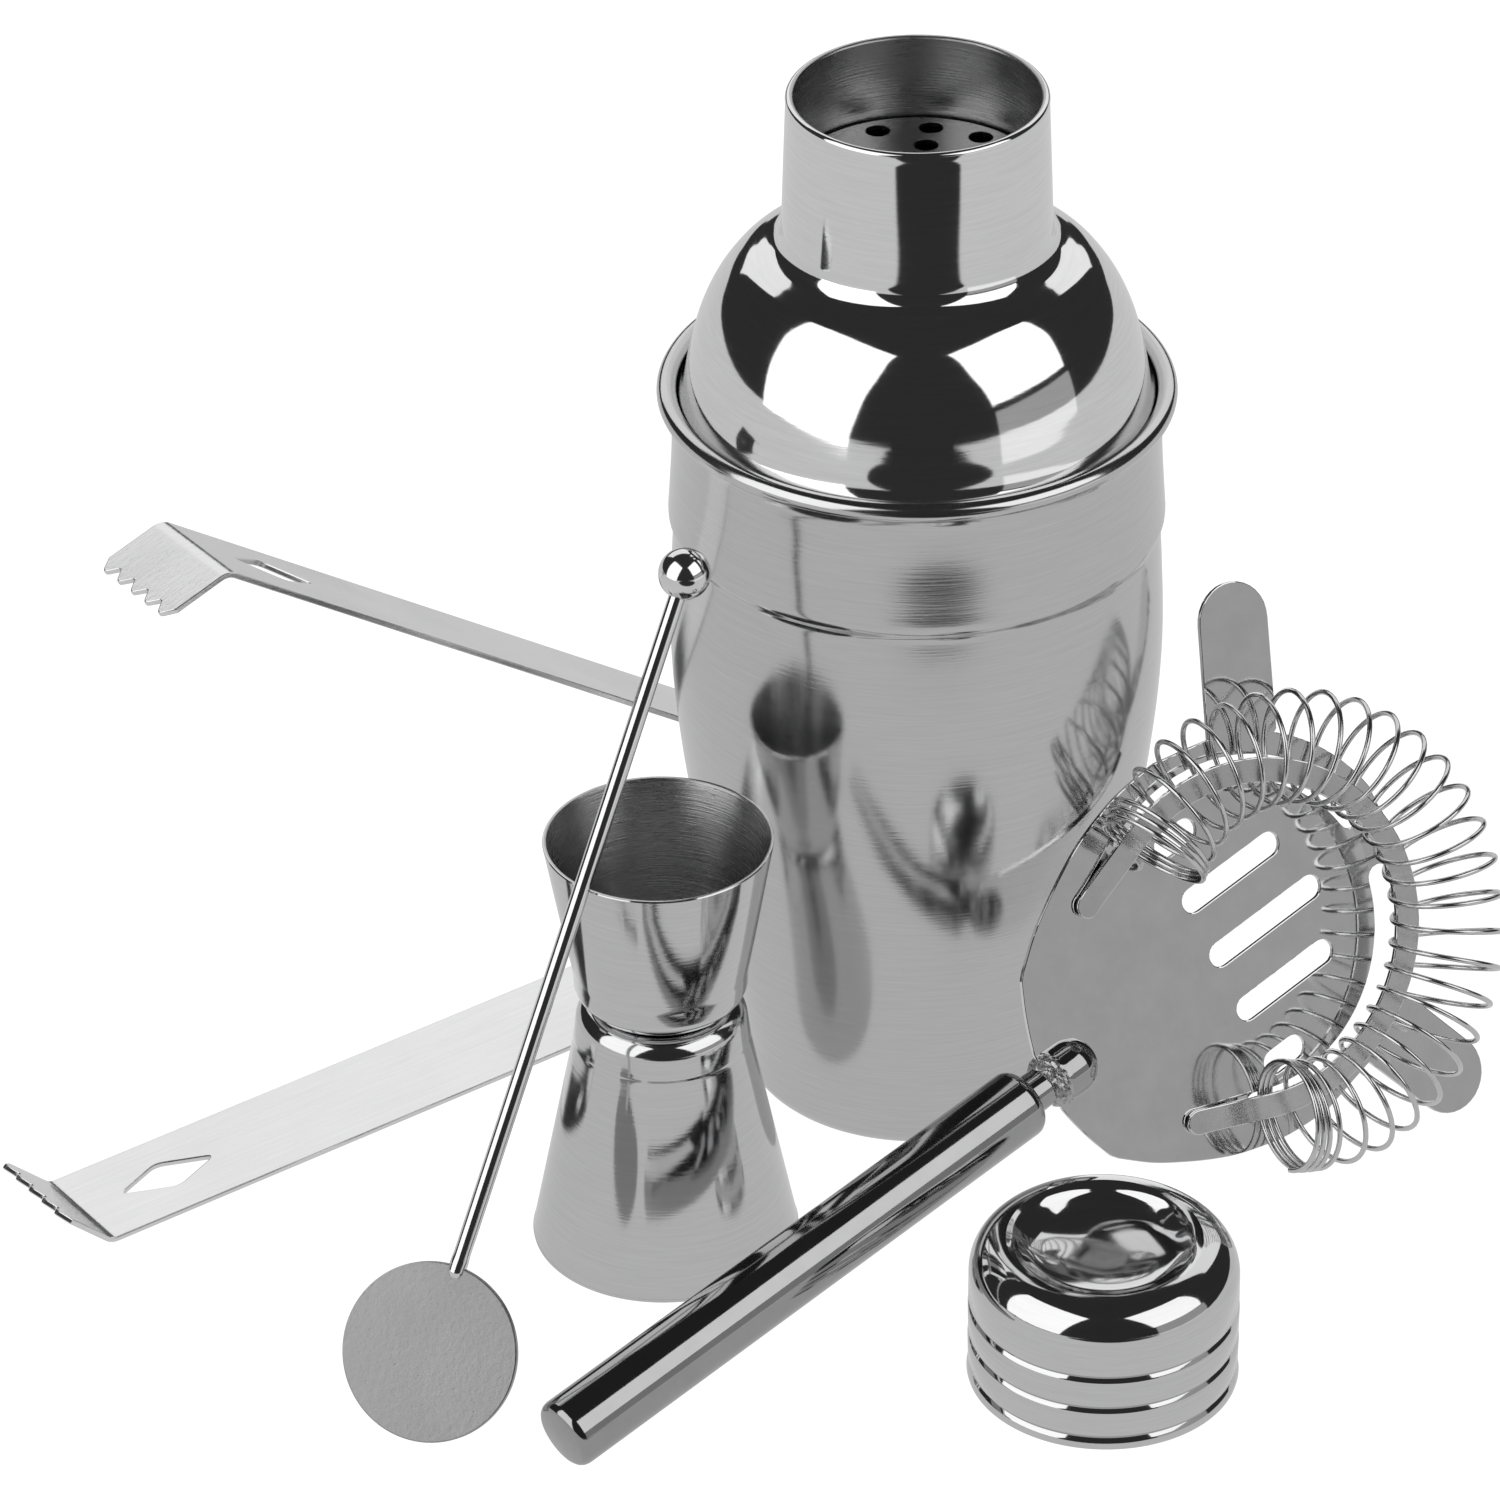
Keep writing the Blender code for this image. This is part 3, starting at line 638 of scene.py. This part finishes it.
def coil_points(look):
    """Centre line of the wire round its C-shaped path, closed up at both ends."""
    total = int(look.turns * COIL_POINTS)
    closed = look.closed
    left = look.sweep - closed * COIL_TIGHT
    size = look.radius / MM
    made = []
    for index in range(total + 1):
        turns = look.turns * index / total
        if turns < closed:
            sweep = -look.sweep + COIL_TIGHT * turns
        elif turns > look.turns - closed:
            sweep = look.sweep - COIL_TIGHT * (look.turns - turns)
        else:
            sweep = -left + 2.0 * left * (turns - closed) / (look.turns - 2.0 * closed)
        ease = math.cos(math.radians(sweep))
        radius = COIL_PATH_R + (COIL_FAR_OUT if ease > 0.0 else COIL_END_IN) * ease
        out = Vector((math.cos(math.radians(sweep)), math.sin(math.radians(sweep)), 0.0))
        centre = out * radius + Vector((0.0, 0.0, COIL_LIFT + COIL_FAR_UP * ease))
        turn = math.tau * turns
        made.append(centre + out * (size * math.cos(turn)) + Vector((0.0, 0.0, size * math.sin(turn))))
    return made


def build_spring(look):
    """The wire coil round the strainer's edge."""
    data = bpy.data.curves.new("coil", "CURVE")
    data.dimensions = "3D"
    data.bevel_depth = look.wire
    data.bevel_resolution = 4
    data.use_fill_caps = True
    path = coil_points(look)
    run = data.splines.new("POLY")
    run.points.add(len(path) - 1)
    for point, spot in zip(run.points, path):
        point.co = (spot.x * MM, spot.y * MM, spot.z * MM, 1.0)
    coil = bpy.data.objects.new("coil", data)
    bpy.context.scene.collection.objects.link(coil)
    view = bpy.context.evaluated_depsgraph_get()
    mesh = bpy.data.meshes.new_from_object(coil.evaluated_get(view))
    shape = bmesh.new()
    shape.from_mesh(mesh)
    bpy.data.objects.remove(coil)
    bpy.data.meshes.remove(mesh)
    bmesh.ops.remove_doubles(shape, verts=shape.verts, dist=1e-6)
    bmesh.ops.transform(shape, matrix=plate_matrix(), verts=shape.verts)
    drawn = steel("wire_steel", 0.66, 0.11, 0.08, lines=400.0, depth=0.03)
    piece = place_in_scene("strainer_spring_look", shape, (drawn,))
    hand_over(piece, "spring", "spring_steel", "strainer_spring")


def handle_run():
    """Where the handle leaves the plate, and its heading."""
    place = plate_matrix(along=-BOSS_AT)
    run = (place.to_3x3() @ Vector(HANDLE_LEAN)).normalized()
    return place.translation / MM, run


def build_handle():
    """The pin, the polished tube over it, and the pressed nose with its weld."""
    start, run = handle_run()
    place = aligned(start, run)
    reach = TUBE_FROM - BOSS_AT
    # Painted shade: the pin, tube and nose get a low tone of 0.40, half the plate's polished steel, standing
    # in for the dark room the polished handle reflects.
    mirror = steel("handle_mirror_painted_shade", 0.40, 0.06, 0.04, lines=160.0, depth=0.015)
    weld = steel("weld_steel", 0.52, 0.26, 0.2, lines=900.0, depth=0.8)
    pin = [(0.0, reach + 8.0), (PIN_R, reach + 8.0)]
    pin += flow([(PIN_R, reach + 1.0), (3.55, 6.6), (3.9, 5.2)], 5) + [(0.0, 5.0)]
    piece = lathe("handle_pin_look", pin, 48, (mirror,), place=place)
    hand_over(piece, "strainer", "polished_steel", "handle_pin")
    end = reach + TUBE_LENGTH
    tube = [(0.0, end), (5.0, end), (5.35, end - 0.1), (5.75, end - 0.4), (6.05, end - 0.9)]
    tube += [(TUBE_R, end - 1.6), (TUBE_R, end - 50.0), (TUBE_R, reach + 2.2), (6.1, reach + 1.5)]
    tube += [(5.7, reach + 0.75), (5.1, reach + 0.2), (4.4, reach), (PIN_R + GAP, reach)]
    tube += [(PIN_R + GAP, reach + 8.3), (0.0, reach + 8.3)]
    piece = lathe("handle_tube_look", tube, 96, (mirror,), place=place)
    hand_over(piece, "strainer", "polished_steel", "handle_tube")
    nose = [(r, -h) for r, h in reversed(arc(5.1, 0.0, 90.0, 14))]
    nose += flow([(5.1, 0.4), (5.0, 3.0), (4.7, 4.4), (4.5, 5.4), (3.6, 6.4)], 5) + [(0.0, 6.5)]
    shape = lathe_shape(nose, 64, place)
    random.seed(7)
    back = place.inverted()
    for vert in shape.verts:
        height = (back @ vert.co).z / MM
        if 3.2 < height < 6.4:
            vert.co += vert.normal * random.uniform(-0.16, 0.22) * MM
    boss = place_in_scene("handle_boss_look", shape, (mirror, weld))
    for face in boss.data.polygons:
        if (back @ Vector(face.center)).z / MM > 3.4:
            face.material_index = 1
    hand_over(boss, "strainer", "brushed_steel", "handle_boss")


# Stirrer


def build_stirrer():
    """The flat disc, the rod welded to its edge and the ball."""
    run = Vector(STIR_DIR).normalized()
    face = Vector(STIR_NORMAL)
    face = (face - run * face.dot(run)).normalized()
    side = run.cross(face)
    turn = Matrix((side, run, face)).transposed().to_4x4()
    turn.translation = Vector(STIR_DISC) * MM
    edge = STIR_DISC_R
    disc = [(0.0, 0.7), (8.0, 0.7), (edge - 0.25, 0.7), (edge - 0.07, 0.62), (edge, 0.45)]
    disc += [(edge, -0.45), (edge - 0.07, -0.62), (edge - 0.25, -0.7), (0.0, -0.7)]
    satin = steel("stir_satin", 0.40, 0.30, 0.1, (1.0, 1.0, 1.0), lines=900.0, depth=0.12)
    piece = lathe("stirrer_disc_look", disc, CUP_STEPS, (satin,), place=turn, angle=FLAT_ANGLE)
    hand_over(piece, "stirrer", "brushed_steel", "stirrer_disc")
    place = aligned(STIR_DISC, run)
    mirror = steel("rod_mirror", 0.78, 0.07, 0.05, lines=200.0, depth=0.02)
    rod = [(0.0, STIR_LENGTH - 3.6), (STIR_ROD_R, STIR_LENGTH - 3.6), (STIR_ROD_R, 60.0)]
    weld = [(STIR_ROD_R, edge + 6.0), (STIR_ROD_R, edge + 2.2), (1.55, edge + 0.8), (1.5, edge - 1.2)]
    rod += flow(weld, 4) + [(1.1, edge - 1.9), (0.0, edge - 2.1)]
    piece = lathe("stirrer_rod_look", rod, 40, (mirror,), place=place)
    hand_over(piece, "stirrer", "polished_steel", "stirrer_rod")
    ball = [(r, STIR_LENGTH + h) for h, r in arc(STIR_BALL_R, 0.0, 180.0, 40)]
    ball[0] = (0.0, ball[0][1])
    ball[-1] = (0.0, ball[-1][1])
    piece = lathe("stirrer_ball_look", ball, 72, (mirror,), place=place)
    hand_over(piece, "stirrer", "polished_steel", "stirrer_ball")


# Tongs


def tongs_matrix():
    """The tongs' frame on the table: first axis from the toothed end to the bow."""
    turn = Matrix.Rotation(math.radians(TONGS_ANGLE), 4, "Z")
    shift = Matrix.Translation((0.0, TONGS_WIDTH / 2.0 * MM, 0.0))
    return Matrix.Translation((TONGS_AT[0] * MM, TONGS_AT[1] * MM, 0.0)) @ turn @ shift


def diamond(centre):
    """The cut-out near the tip: a long diamond with softened corners."""
    corners = [(centre - CUT_LONG, 0.0), (centre, -CUT_SHORT), (centre + CUT_LONG, 0.0), (centre, CUT_SHORT)]
    made = []
    for index in range(4):
        here = Vector(corners[index])
        before = here.lerp(Vector(corners[index - 1]), 0.16)
        after = here.lerp(Vector(corners[(index + 1) % 4]), 0.16)
        for t in (0.0, 0.25, 0.5, 0.75, 1.0):
            spot = before.lerp(here, t).lerp(here.lerp(after, t), t)
            made.append((spot.x, spot.y))
    return made


def arm_shape(length, angle):
    """One arm with its teeth and cut-out, its toothed end bent up through an angle in degrees."""
    half = TONGS_WIDTH / 2.0
    edge = [(length, half), (0.0, half), (-FLANGE + 2.4, half), (-FLANGE + 2.0, half - 0.3)]
    step = TONGS_WIDTH / TOOTH_COUNT
    for index in range(TOOTH_COUNT):
        centre = half - step * (index + 0.5)
        edge += [(-FLANGE + 0.35, centre + 0.65), (-FLANGE, centre + 0.25)]
        edge += [(-FLANGE, centre - 0.25), (-FLANGE + 0.35, centre - 0.65)]
        if index < TOOTH_COUNT - 1:
            valley = half - step * (index + 1.0)
            edge += [(-FLANGE + 1.9, valley + 0.22), (-FLANGE + 1.9, valley - 0.22)]
    edge += [(-FLANGE + 2.0, -half + 0.3), (-FLANGE + 2.4, -half), (0.0, -half), (length, -half)]
    shape = sheet_shape([edge, diamond(CUT_AT)], TONGS_TH, 0.2)
    bend = math.radians(angle)
    run = FOLD_R * bend
    cross_cuts(shape, [run / 2.0 - run * index / 8.0 for index in range(9)])
    for vert in shape.verts:
        reach = run / 2.0 - vert.co.x / MM
        height = vert.co.z / MM
        if reach > 0.0:
            turned = min(reach / FOLD_R, bend)
            extra = max(reach - run, 0.0)
            along = run / 2.0 - FOLD_R * math.sin(turned)
            along += height * math.sin(turned) - extra * math.cos(turned)
            rise = FOLD_R * (1.0 - math.cos(turned)) + extra * math.sin(turned) + height * math.cos(turned)
            vert.co.x = along * MM
            vert.co.z = rise * MM
    return shape


def build_tongs():
    """The arm on the table, the raised arm and the bow between them."""
    place = tongs_matrix()
    brushed = steel(
        "tongs_brushed", 0.84, 0.16, 0.1, (1.0, 26.0, 26.0), math.radians(TONGS_ANGLE), TONGS_AT, 60.0, 0.10,
    )
    lower = arm_shape(BOW_AT - GAP, LOWER_FOLD)
    raised = Matrix.Translation((0.0, 0.0, 0.5 * TONGS_TH * MM))
    bmesh.ops.transform(lower, matrix=place @ raised, verts=lower.verts)
    piece = place_in_scene("tongs_lower_arm_look", lower, (brushed,), FLAT_ANGLE)
    hand_over(piece, "tongs", "polished_steel", "tongs_lower_arm")
    crest = Vector(CREST)
    pivot = Vector((BOW_AT, BOW_R))
    reach = (crest - pivot).length
    offset = BOW_R - TONGS_TH / 2.0
    straight = math.sqrt(reach ** 2 - offset ** 2)
    slope = math.atan2(crest.y - pivot.y, pivot.x - crest.x) - math.asin(offset / reach)
    upper = arm_shape(straight - GAP, UPPER_FOLD)
    bmesh.ops.scale(upper, vec=(1.0, 1.0, -1.0), verts=upper.verts)
    bmesh.ops.reverse_faces(upper, faces=upper.faces)
    fold = Matrix.Translation((crest.x * MM, 0.0, crest.y * MM)) @ Matrix.Rotation(slope, 4, "Y")
    bmesh.ops.transform(upper, matrix=place @ fold, verts=upper.verts)
    piece = place_in_scene("tongs_upper_arm_look", upper, (brushed,), FLAT_ANGLE)
    hand_over(piece, "tongs_upper", "polished_steel", "tongs_upper_arm")
    outer = arc(BOW_R, -90.0, 90.0 - math.degrees(slope), 40, (pivot.x, pivot.y))
    inner = arc(BOW_R - TONGS_TH, 90.0 - math.degrees(slope), -90.0, 40, (pivot.x, pivot.y))
    bow = sheet_shape([outer + inner], TONGS_WIDTH, 0.15)
    bmesh.ops.transform(bow, matrix=place @ Matrix.Rotation(math.pi / 2.0, 4, "X"), verts=bow.verts)
    piece = place_in_scene("tongs_bow_look", bow, (brushed,), SMOOTH_ANGLE)
    hand_over(piece, "tongs", "polished_steel", "tongs_bow")


# Studio


def floor_finish():
    """A white table with faint contact shadows, dark in reflections along a strip in front of the set."""
    made = bpy.data.materials.new("studio_floor")
    made.use_nodes = True
    tree = made.node_tree
    tree.nodes.clear()
    leave = tree.nodes.new("ShaderNodeOutputMaterial")
    diffuse = tree.nodes.new("ShaderNodeBsdfDiffuse")
    diffuse.inputs["Color"].default_value = (0.95, 0.95, 0.95, 1.0)
    glow = tree.nodes.new("ShaderNodeEmission")
    glow.inputs["Strength"].default_value = 1.2
    soft = tree.nodes.new("ShaderNodeMixShader")
    soft.inputs["Fac"].default_value = 0.86
    spot = tree.nodes.new("ShaderNodeTexCoord")
    shift = tree.nodes.new("ShaderNodeVectorMath")
    shift.operation = "SUBTRACT"
    shift.inputs[1].default_value = DARK_AT
    squash = tree.nodes.new("ShaderNodeVectorMath")
    squash.operation = "DIVIDE"
    squash.inputs[1].default_value = DARK_SIZE
    reach = tree.nodes.new("ShaderNodeVectorMath")
    reach.operation = "LENGTH"
    fall = tree.nodes.new("ShaderNodeMapRange")
    fall.interpolation_type = "SMOOTHSTEP"
    fall.inputs["From Min"].default_value = DARK_EDGE
    fall.inputs["From Max"].default_value = 1.0
    fall.inputs["To Min"].default_value = DARK_GLOW
    fall.inputs["To Max"].default_value = TABLE_GLOW
    table = tree.nodes.new("ShaderNodeEmission")
    path = tree.nodes.new("ShaderNodeLightPath")
    pick = tree.nodes.new("ShaderNodeMixShader")
    wire(tree, spot.outputs["Object"], shift.inputs[0])
    wire(tree, shift.outputs[0], squash.inputs[0])
    wire(tree, squash.outputs[0], reach.inputs[0])
    wire(tree, reach.outputs["Value"], fall.inputs["Value"])
    wire(tree, fall.outputs["Result"], table.inputs["Strength"])
    wire(tree, diffuse.outputs[0], soft.inputs[1])
    wire(tree, glow.outputs[0], soft.inputs[2])
    wire(tree, path.outputs["Is Camera Ray"], pick.inputs["Fac"])
    wire(tree, table.outputs[0], pick.inputs[1])
    wire(tree, soft.outputs[0], pick.inputs[2])
    wire(tree, pick.outputs[0], leave.inputs["Surface"])
    return made


def studio_world():
    """White seen straight on, and a dark room for reflections."""
    world = bpy.data.worlds.new("studio")
    world.use_nodes = True
    tree = world.node_tree
    tree.nodes.clear()
    leave = tree.nodes.new("ShaderNodeOutputWorld")
    white = tree.nodes.new("ShaderNodeBackground")
    white.inputs["Color"].default_value = (1.0, 1.0, 1.0, 1.0)
    room = tree.nodes.new("ShaderNodeBackground")
    room.inputs["Color"].default_value = (DARK_GLOW, DARK_GLOW, DARK_GLOW, 1.0)
    path = tree.nodes.new("ShaderNodeLightPath")
    pick = tree.nodes.new("ShaderNodeMixShader")
    wire(tree, path.outputs["Is Camera Ray"], pick.inputs["Fac"])
    wire(tree, room.outputs[0], pick.inputs[1])
    wire(tree, white.outputs[0], pick.inputs[2])
    wire(tree, pick.outputs[0], leave.inputs["Surface"])
    bpy.context.scene.world = world


def softbox(name, at, target, wide, tall, power):
    """A flat light at a place in metres, facing a target."""
    data = bpy.data.lights.new(name, "AREA")
    data.shape = "RECTANGLE"
    data.size = wide
    data.size_y = tall
    data.energy = power
    lamp = bpy.data.objects.new(name, data)
    bpy.context.scene.collection.objects.link(lamp)
    facing = (Vector(target) - Vector(at)).to_track_quat("-Z", "Y")
    lamp.matrix_world = Matrix.Translation(at) @ facing.to_matrix().to_4x4()


def build_stage(look):
    """The table, the white surround, the softboxes and the camera."""
    shape = bmesh.new()
    bmesh.ops.create_grid(shape, x_segments=1, y_segments=1, size=TABLE_HALF)
    bmesh.ops.translate(shape, verts=shape.verts, vec=(0.0, 0.0, -TABLE_BELOW))
    floor = place_in_scene("studio_floor", shape, (floor_finish(),))
    studio_world()
    softbox("left_softbox", (-0.95, -0.60, 0.75), (0.0, 0.0, 0.15), 1.30, 1.60, look.left)
    softbox("right_softbox", (0.92, -0.55, 0.95), (0.0, 0.0, 0.15), 1.15, 1.10, look.right)
    softbox("right_fill", (0.86, -0.50, 0.17), (0.06, -0.03, 0.06), 0.80, 0.34, look.fill)
    softbox("back_softbox", (0.0, 1.30, 0.95), (0.0, 0.0, 0.05), 2.40, 1.10, look.back)
    data = bpy.data.cameras.new("view")
    data.sensor_width = 36.0
    data.lens = CAMERA_LENS
    camera = bpy.data.objects.new("view", data)
    bpy.context.scene.collection.objects.link(camera)
    tilt = Matrix.Rotation(math.radians(90.0 - CAMERA_DOWN), 4, "X")
    roll = Matrix.Rotation(math.radians(CAMERA_ROLL), 4, "Z")
    camera.matrix_world = Matrix.Translation(CAMERA_AT) @ tilt @ roll
    bpy.context.scene.camera = camera
    bpy.context.scene.view_settings.view_transform = "Standard"


# Operators


class BARWARE_OT_shaker(bpy.types.Operator):
    """Model the tin, the strainer top with its sieve, and the cap"""

    bl_idname = "barware.shaker"
    bl_label = "Build shaker"

    def execute(self, context):
        look = context.scene.barware_tin
        build_tin(look)
        build_dome(look)
        build_cap()
        return {"FINISHED"}


class BARWARE_OT_jigger(bpy.types.Operator):
    """Model the double measure"""

    bl_idname = "barware.jigger"
    bl_label = "Build jigger"

    def execute(self, context):
        build_jigger()
        return {"FINISHED"}


class BARWARE_OT_strainer(bpy.types.Operator):
    """Model the strainer's plate, guide strip and handle"""

    bl_idname = "barware.strainer"
    bl_label = "Build strainer"

    def execute(self, context):
        build_plate()
        build_strip()
        build_handle()
        return {"FINISHED"}


class BARWARE_OT_coil(bpy.types.Operator):
    """Model the strainer's coil"""

    bl_idname = "barware.coil"
    bl_label = "Build coil"

    def execute(self, context):
        build_spring(context.scene.barware_coil)
        return {"FINISHED"}


class BARWARE_OT_stirrer(bpy.types.Operator):
    """Model the disc stirrer"""

    bl_idname = "barware.stirrer"
    bl_label = "Build stirrer"

    def execute(self, context):
        build_stirrer()
        return {"FINISHED"}


class BARWARE_OT_tongs(bpy.types.Operator):
    """Model the ice tongs"""

    bl_idname = "barware.tongs"
    bl_label = "Build tongs"

    def execute(self, context):
        build_tongs()
        return {"FINISHED"}


class BARWARE_OT_stage(bpy.types.Operator):
    """Set the floor, the lights and the camera"""

    bl_idname = "barware.stage"
    bl_label = "Build stage"

    def execute(self, context):
        build_stage(context.scene.barware_stage)
        return {"FINISHED"}


class BARWARE_PT_panel(bpy.types.Panel):
    """Sidebar panel for the cocktail set"""

    bl_idname = "BARWARE_PT_panel"
    bl_label = "Cocktail set"
    bl_space_type = "VIEW_3D"
    bl_region_type = "UI"
    bl_category = "Barware"

    def draw(self, context):
        layout = self.layout
        scene = context.scene
        layout.prop(scene.barware_tin, "tin_rough")
        layout.prop(scene.barware_tin, "dome_rough")
        layout.operator("barware.shaker")
        layout.operator("barware.jigger")
        layout.operator("barware.strainer")
        layout.prop(scene.barware_coil, "turns")
        layout.operator("barware.coil")
        layout.operator("barware.stirrer")
        layout.operator("barware.tongs")
        layout.prop(scene.barware_stage, "left")
        layout.prop(scene.barware_stage, "right")
        layout.operator("barware.stage")


CLASSES = (
    TinLook, CoilLook, StageLook, BARWARE_OT_shaker, BARWARE_OT_jigger, BARWARE_OT_strainer, BARWARE_OT_coil,
    BARWARE_OT_stirrer, BARWARE_OT_tongs, BARWARE_OT_stage, BARWARE_PT_panel,
)


def register():
    for item in CLASSES:
        bpy.utils.register_class(item)
    bpy.types.Scene.barware_tin = PointerProperty(type=TinLook)
    bpy.types.Scene.barware_coil = PointerProperty(type=CoilLook)
    bpy.types.Scene.barware_stage = PointerProperty(type=StageLook)


def unregister():
    del bpy.types.Scene.barware_stage
    del bpy.types.Scene.barware_coil
    del bpy.types.Scene.barware_tin
    for item in reversed(CLASSES):
        bpy.utils.unregister_class(item)


def main():
    register()
    bpy.ops.barware.shaker()
    bpy.ops.barware.jigger()
    bpy.ops.barware.strainer()
    bpy.ops.barware.coil()
    bpy.ops.barware.stirrer()
    bpy.ops.barware.tongs()
    bpy.ops.barware.stage()
    bpy.context.view_layer.update()


if __name__ == "__main__":
    main()
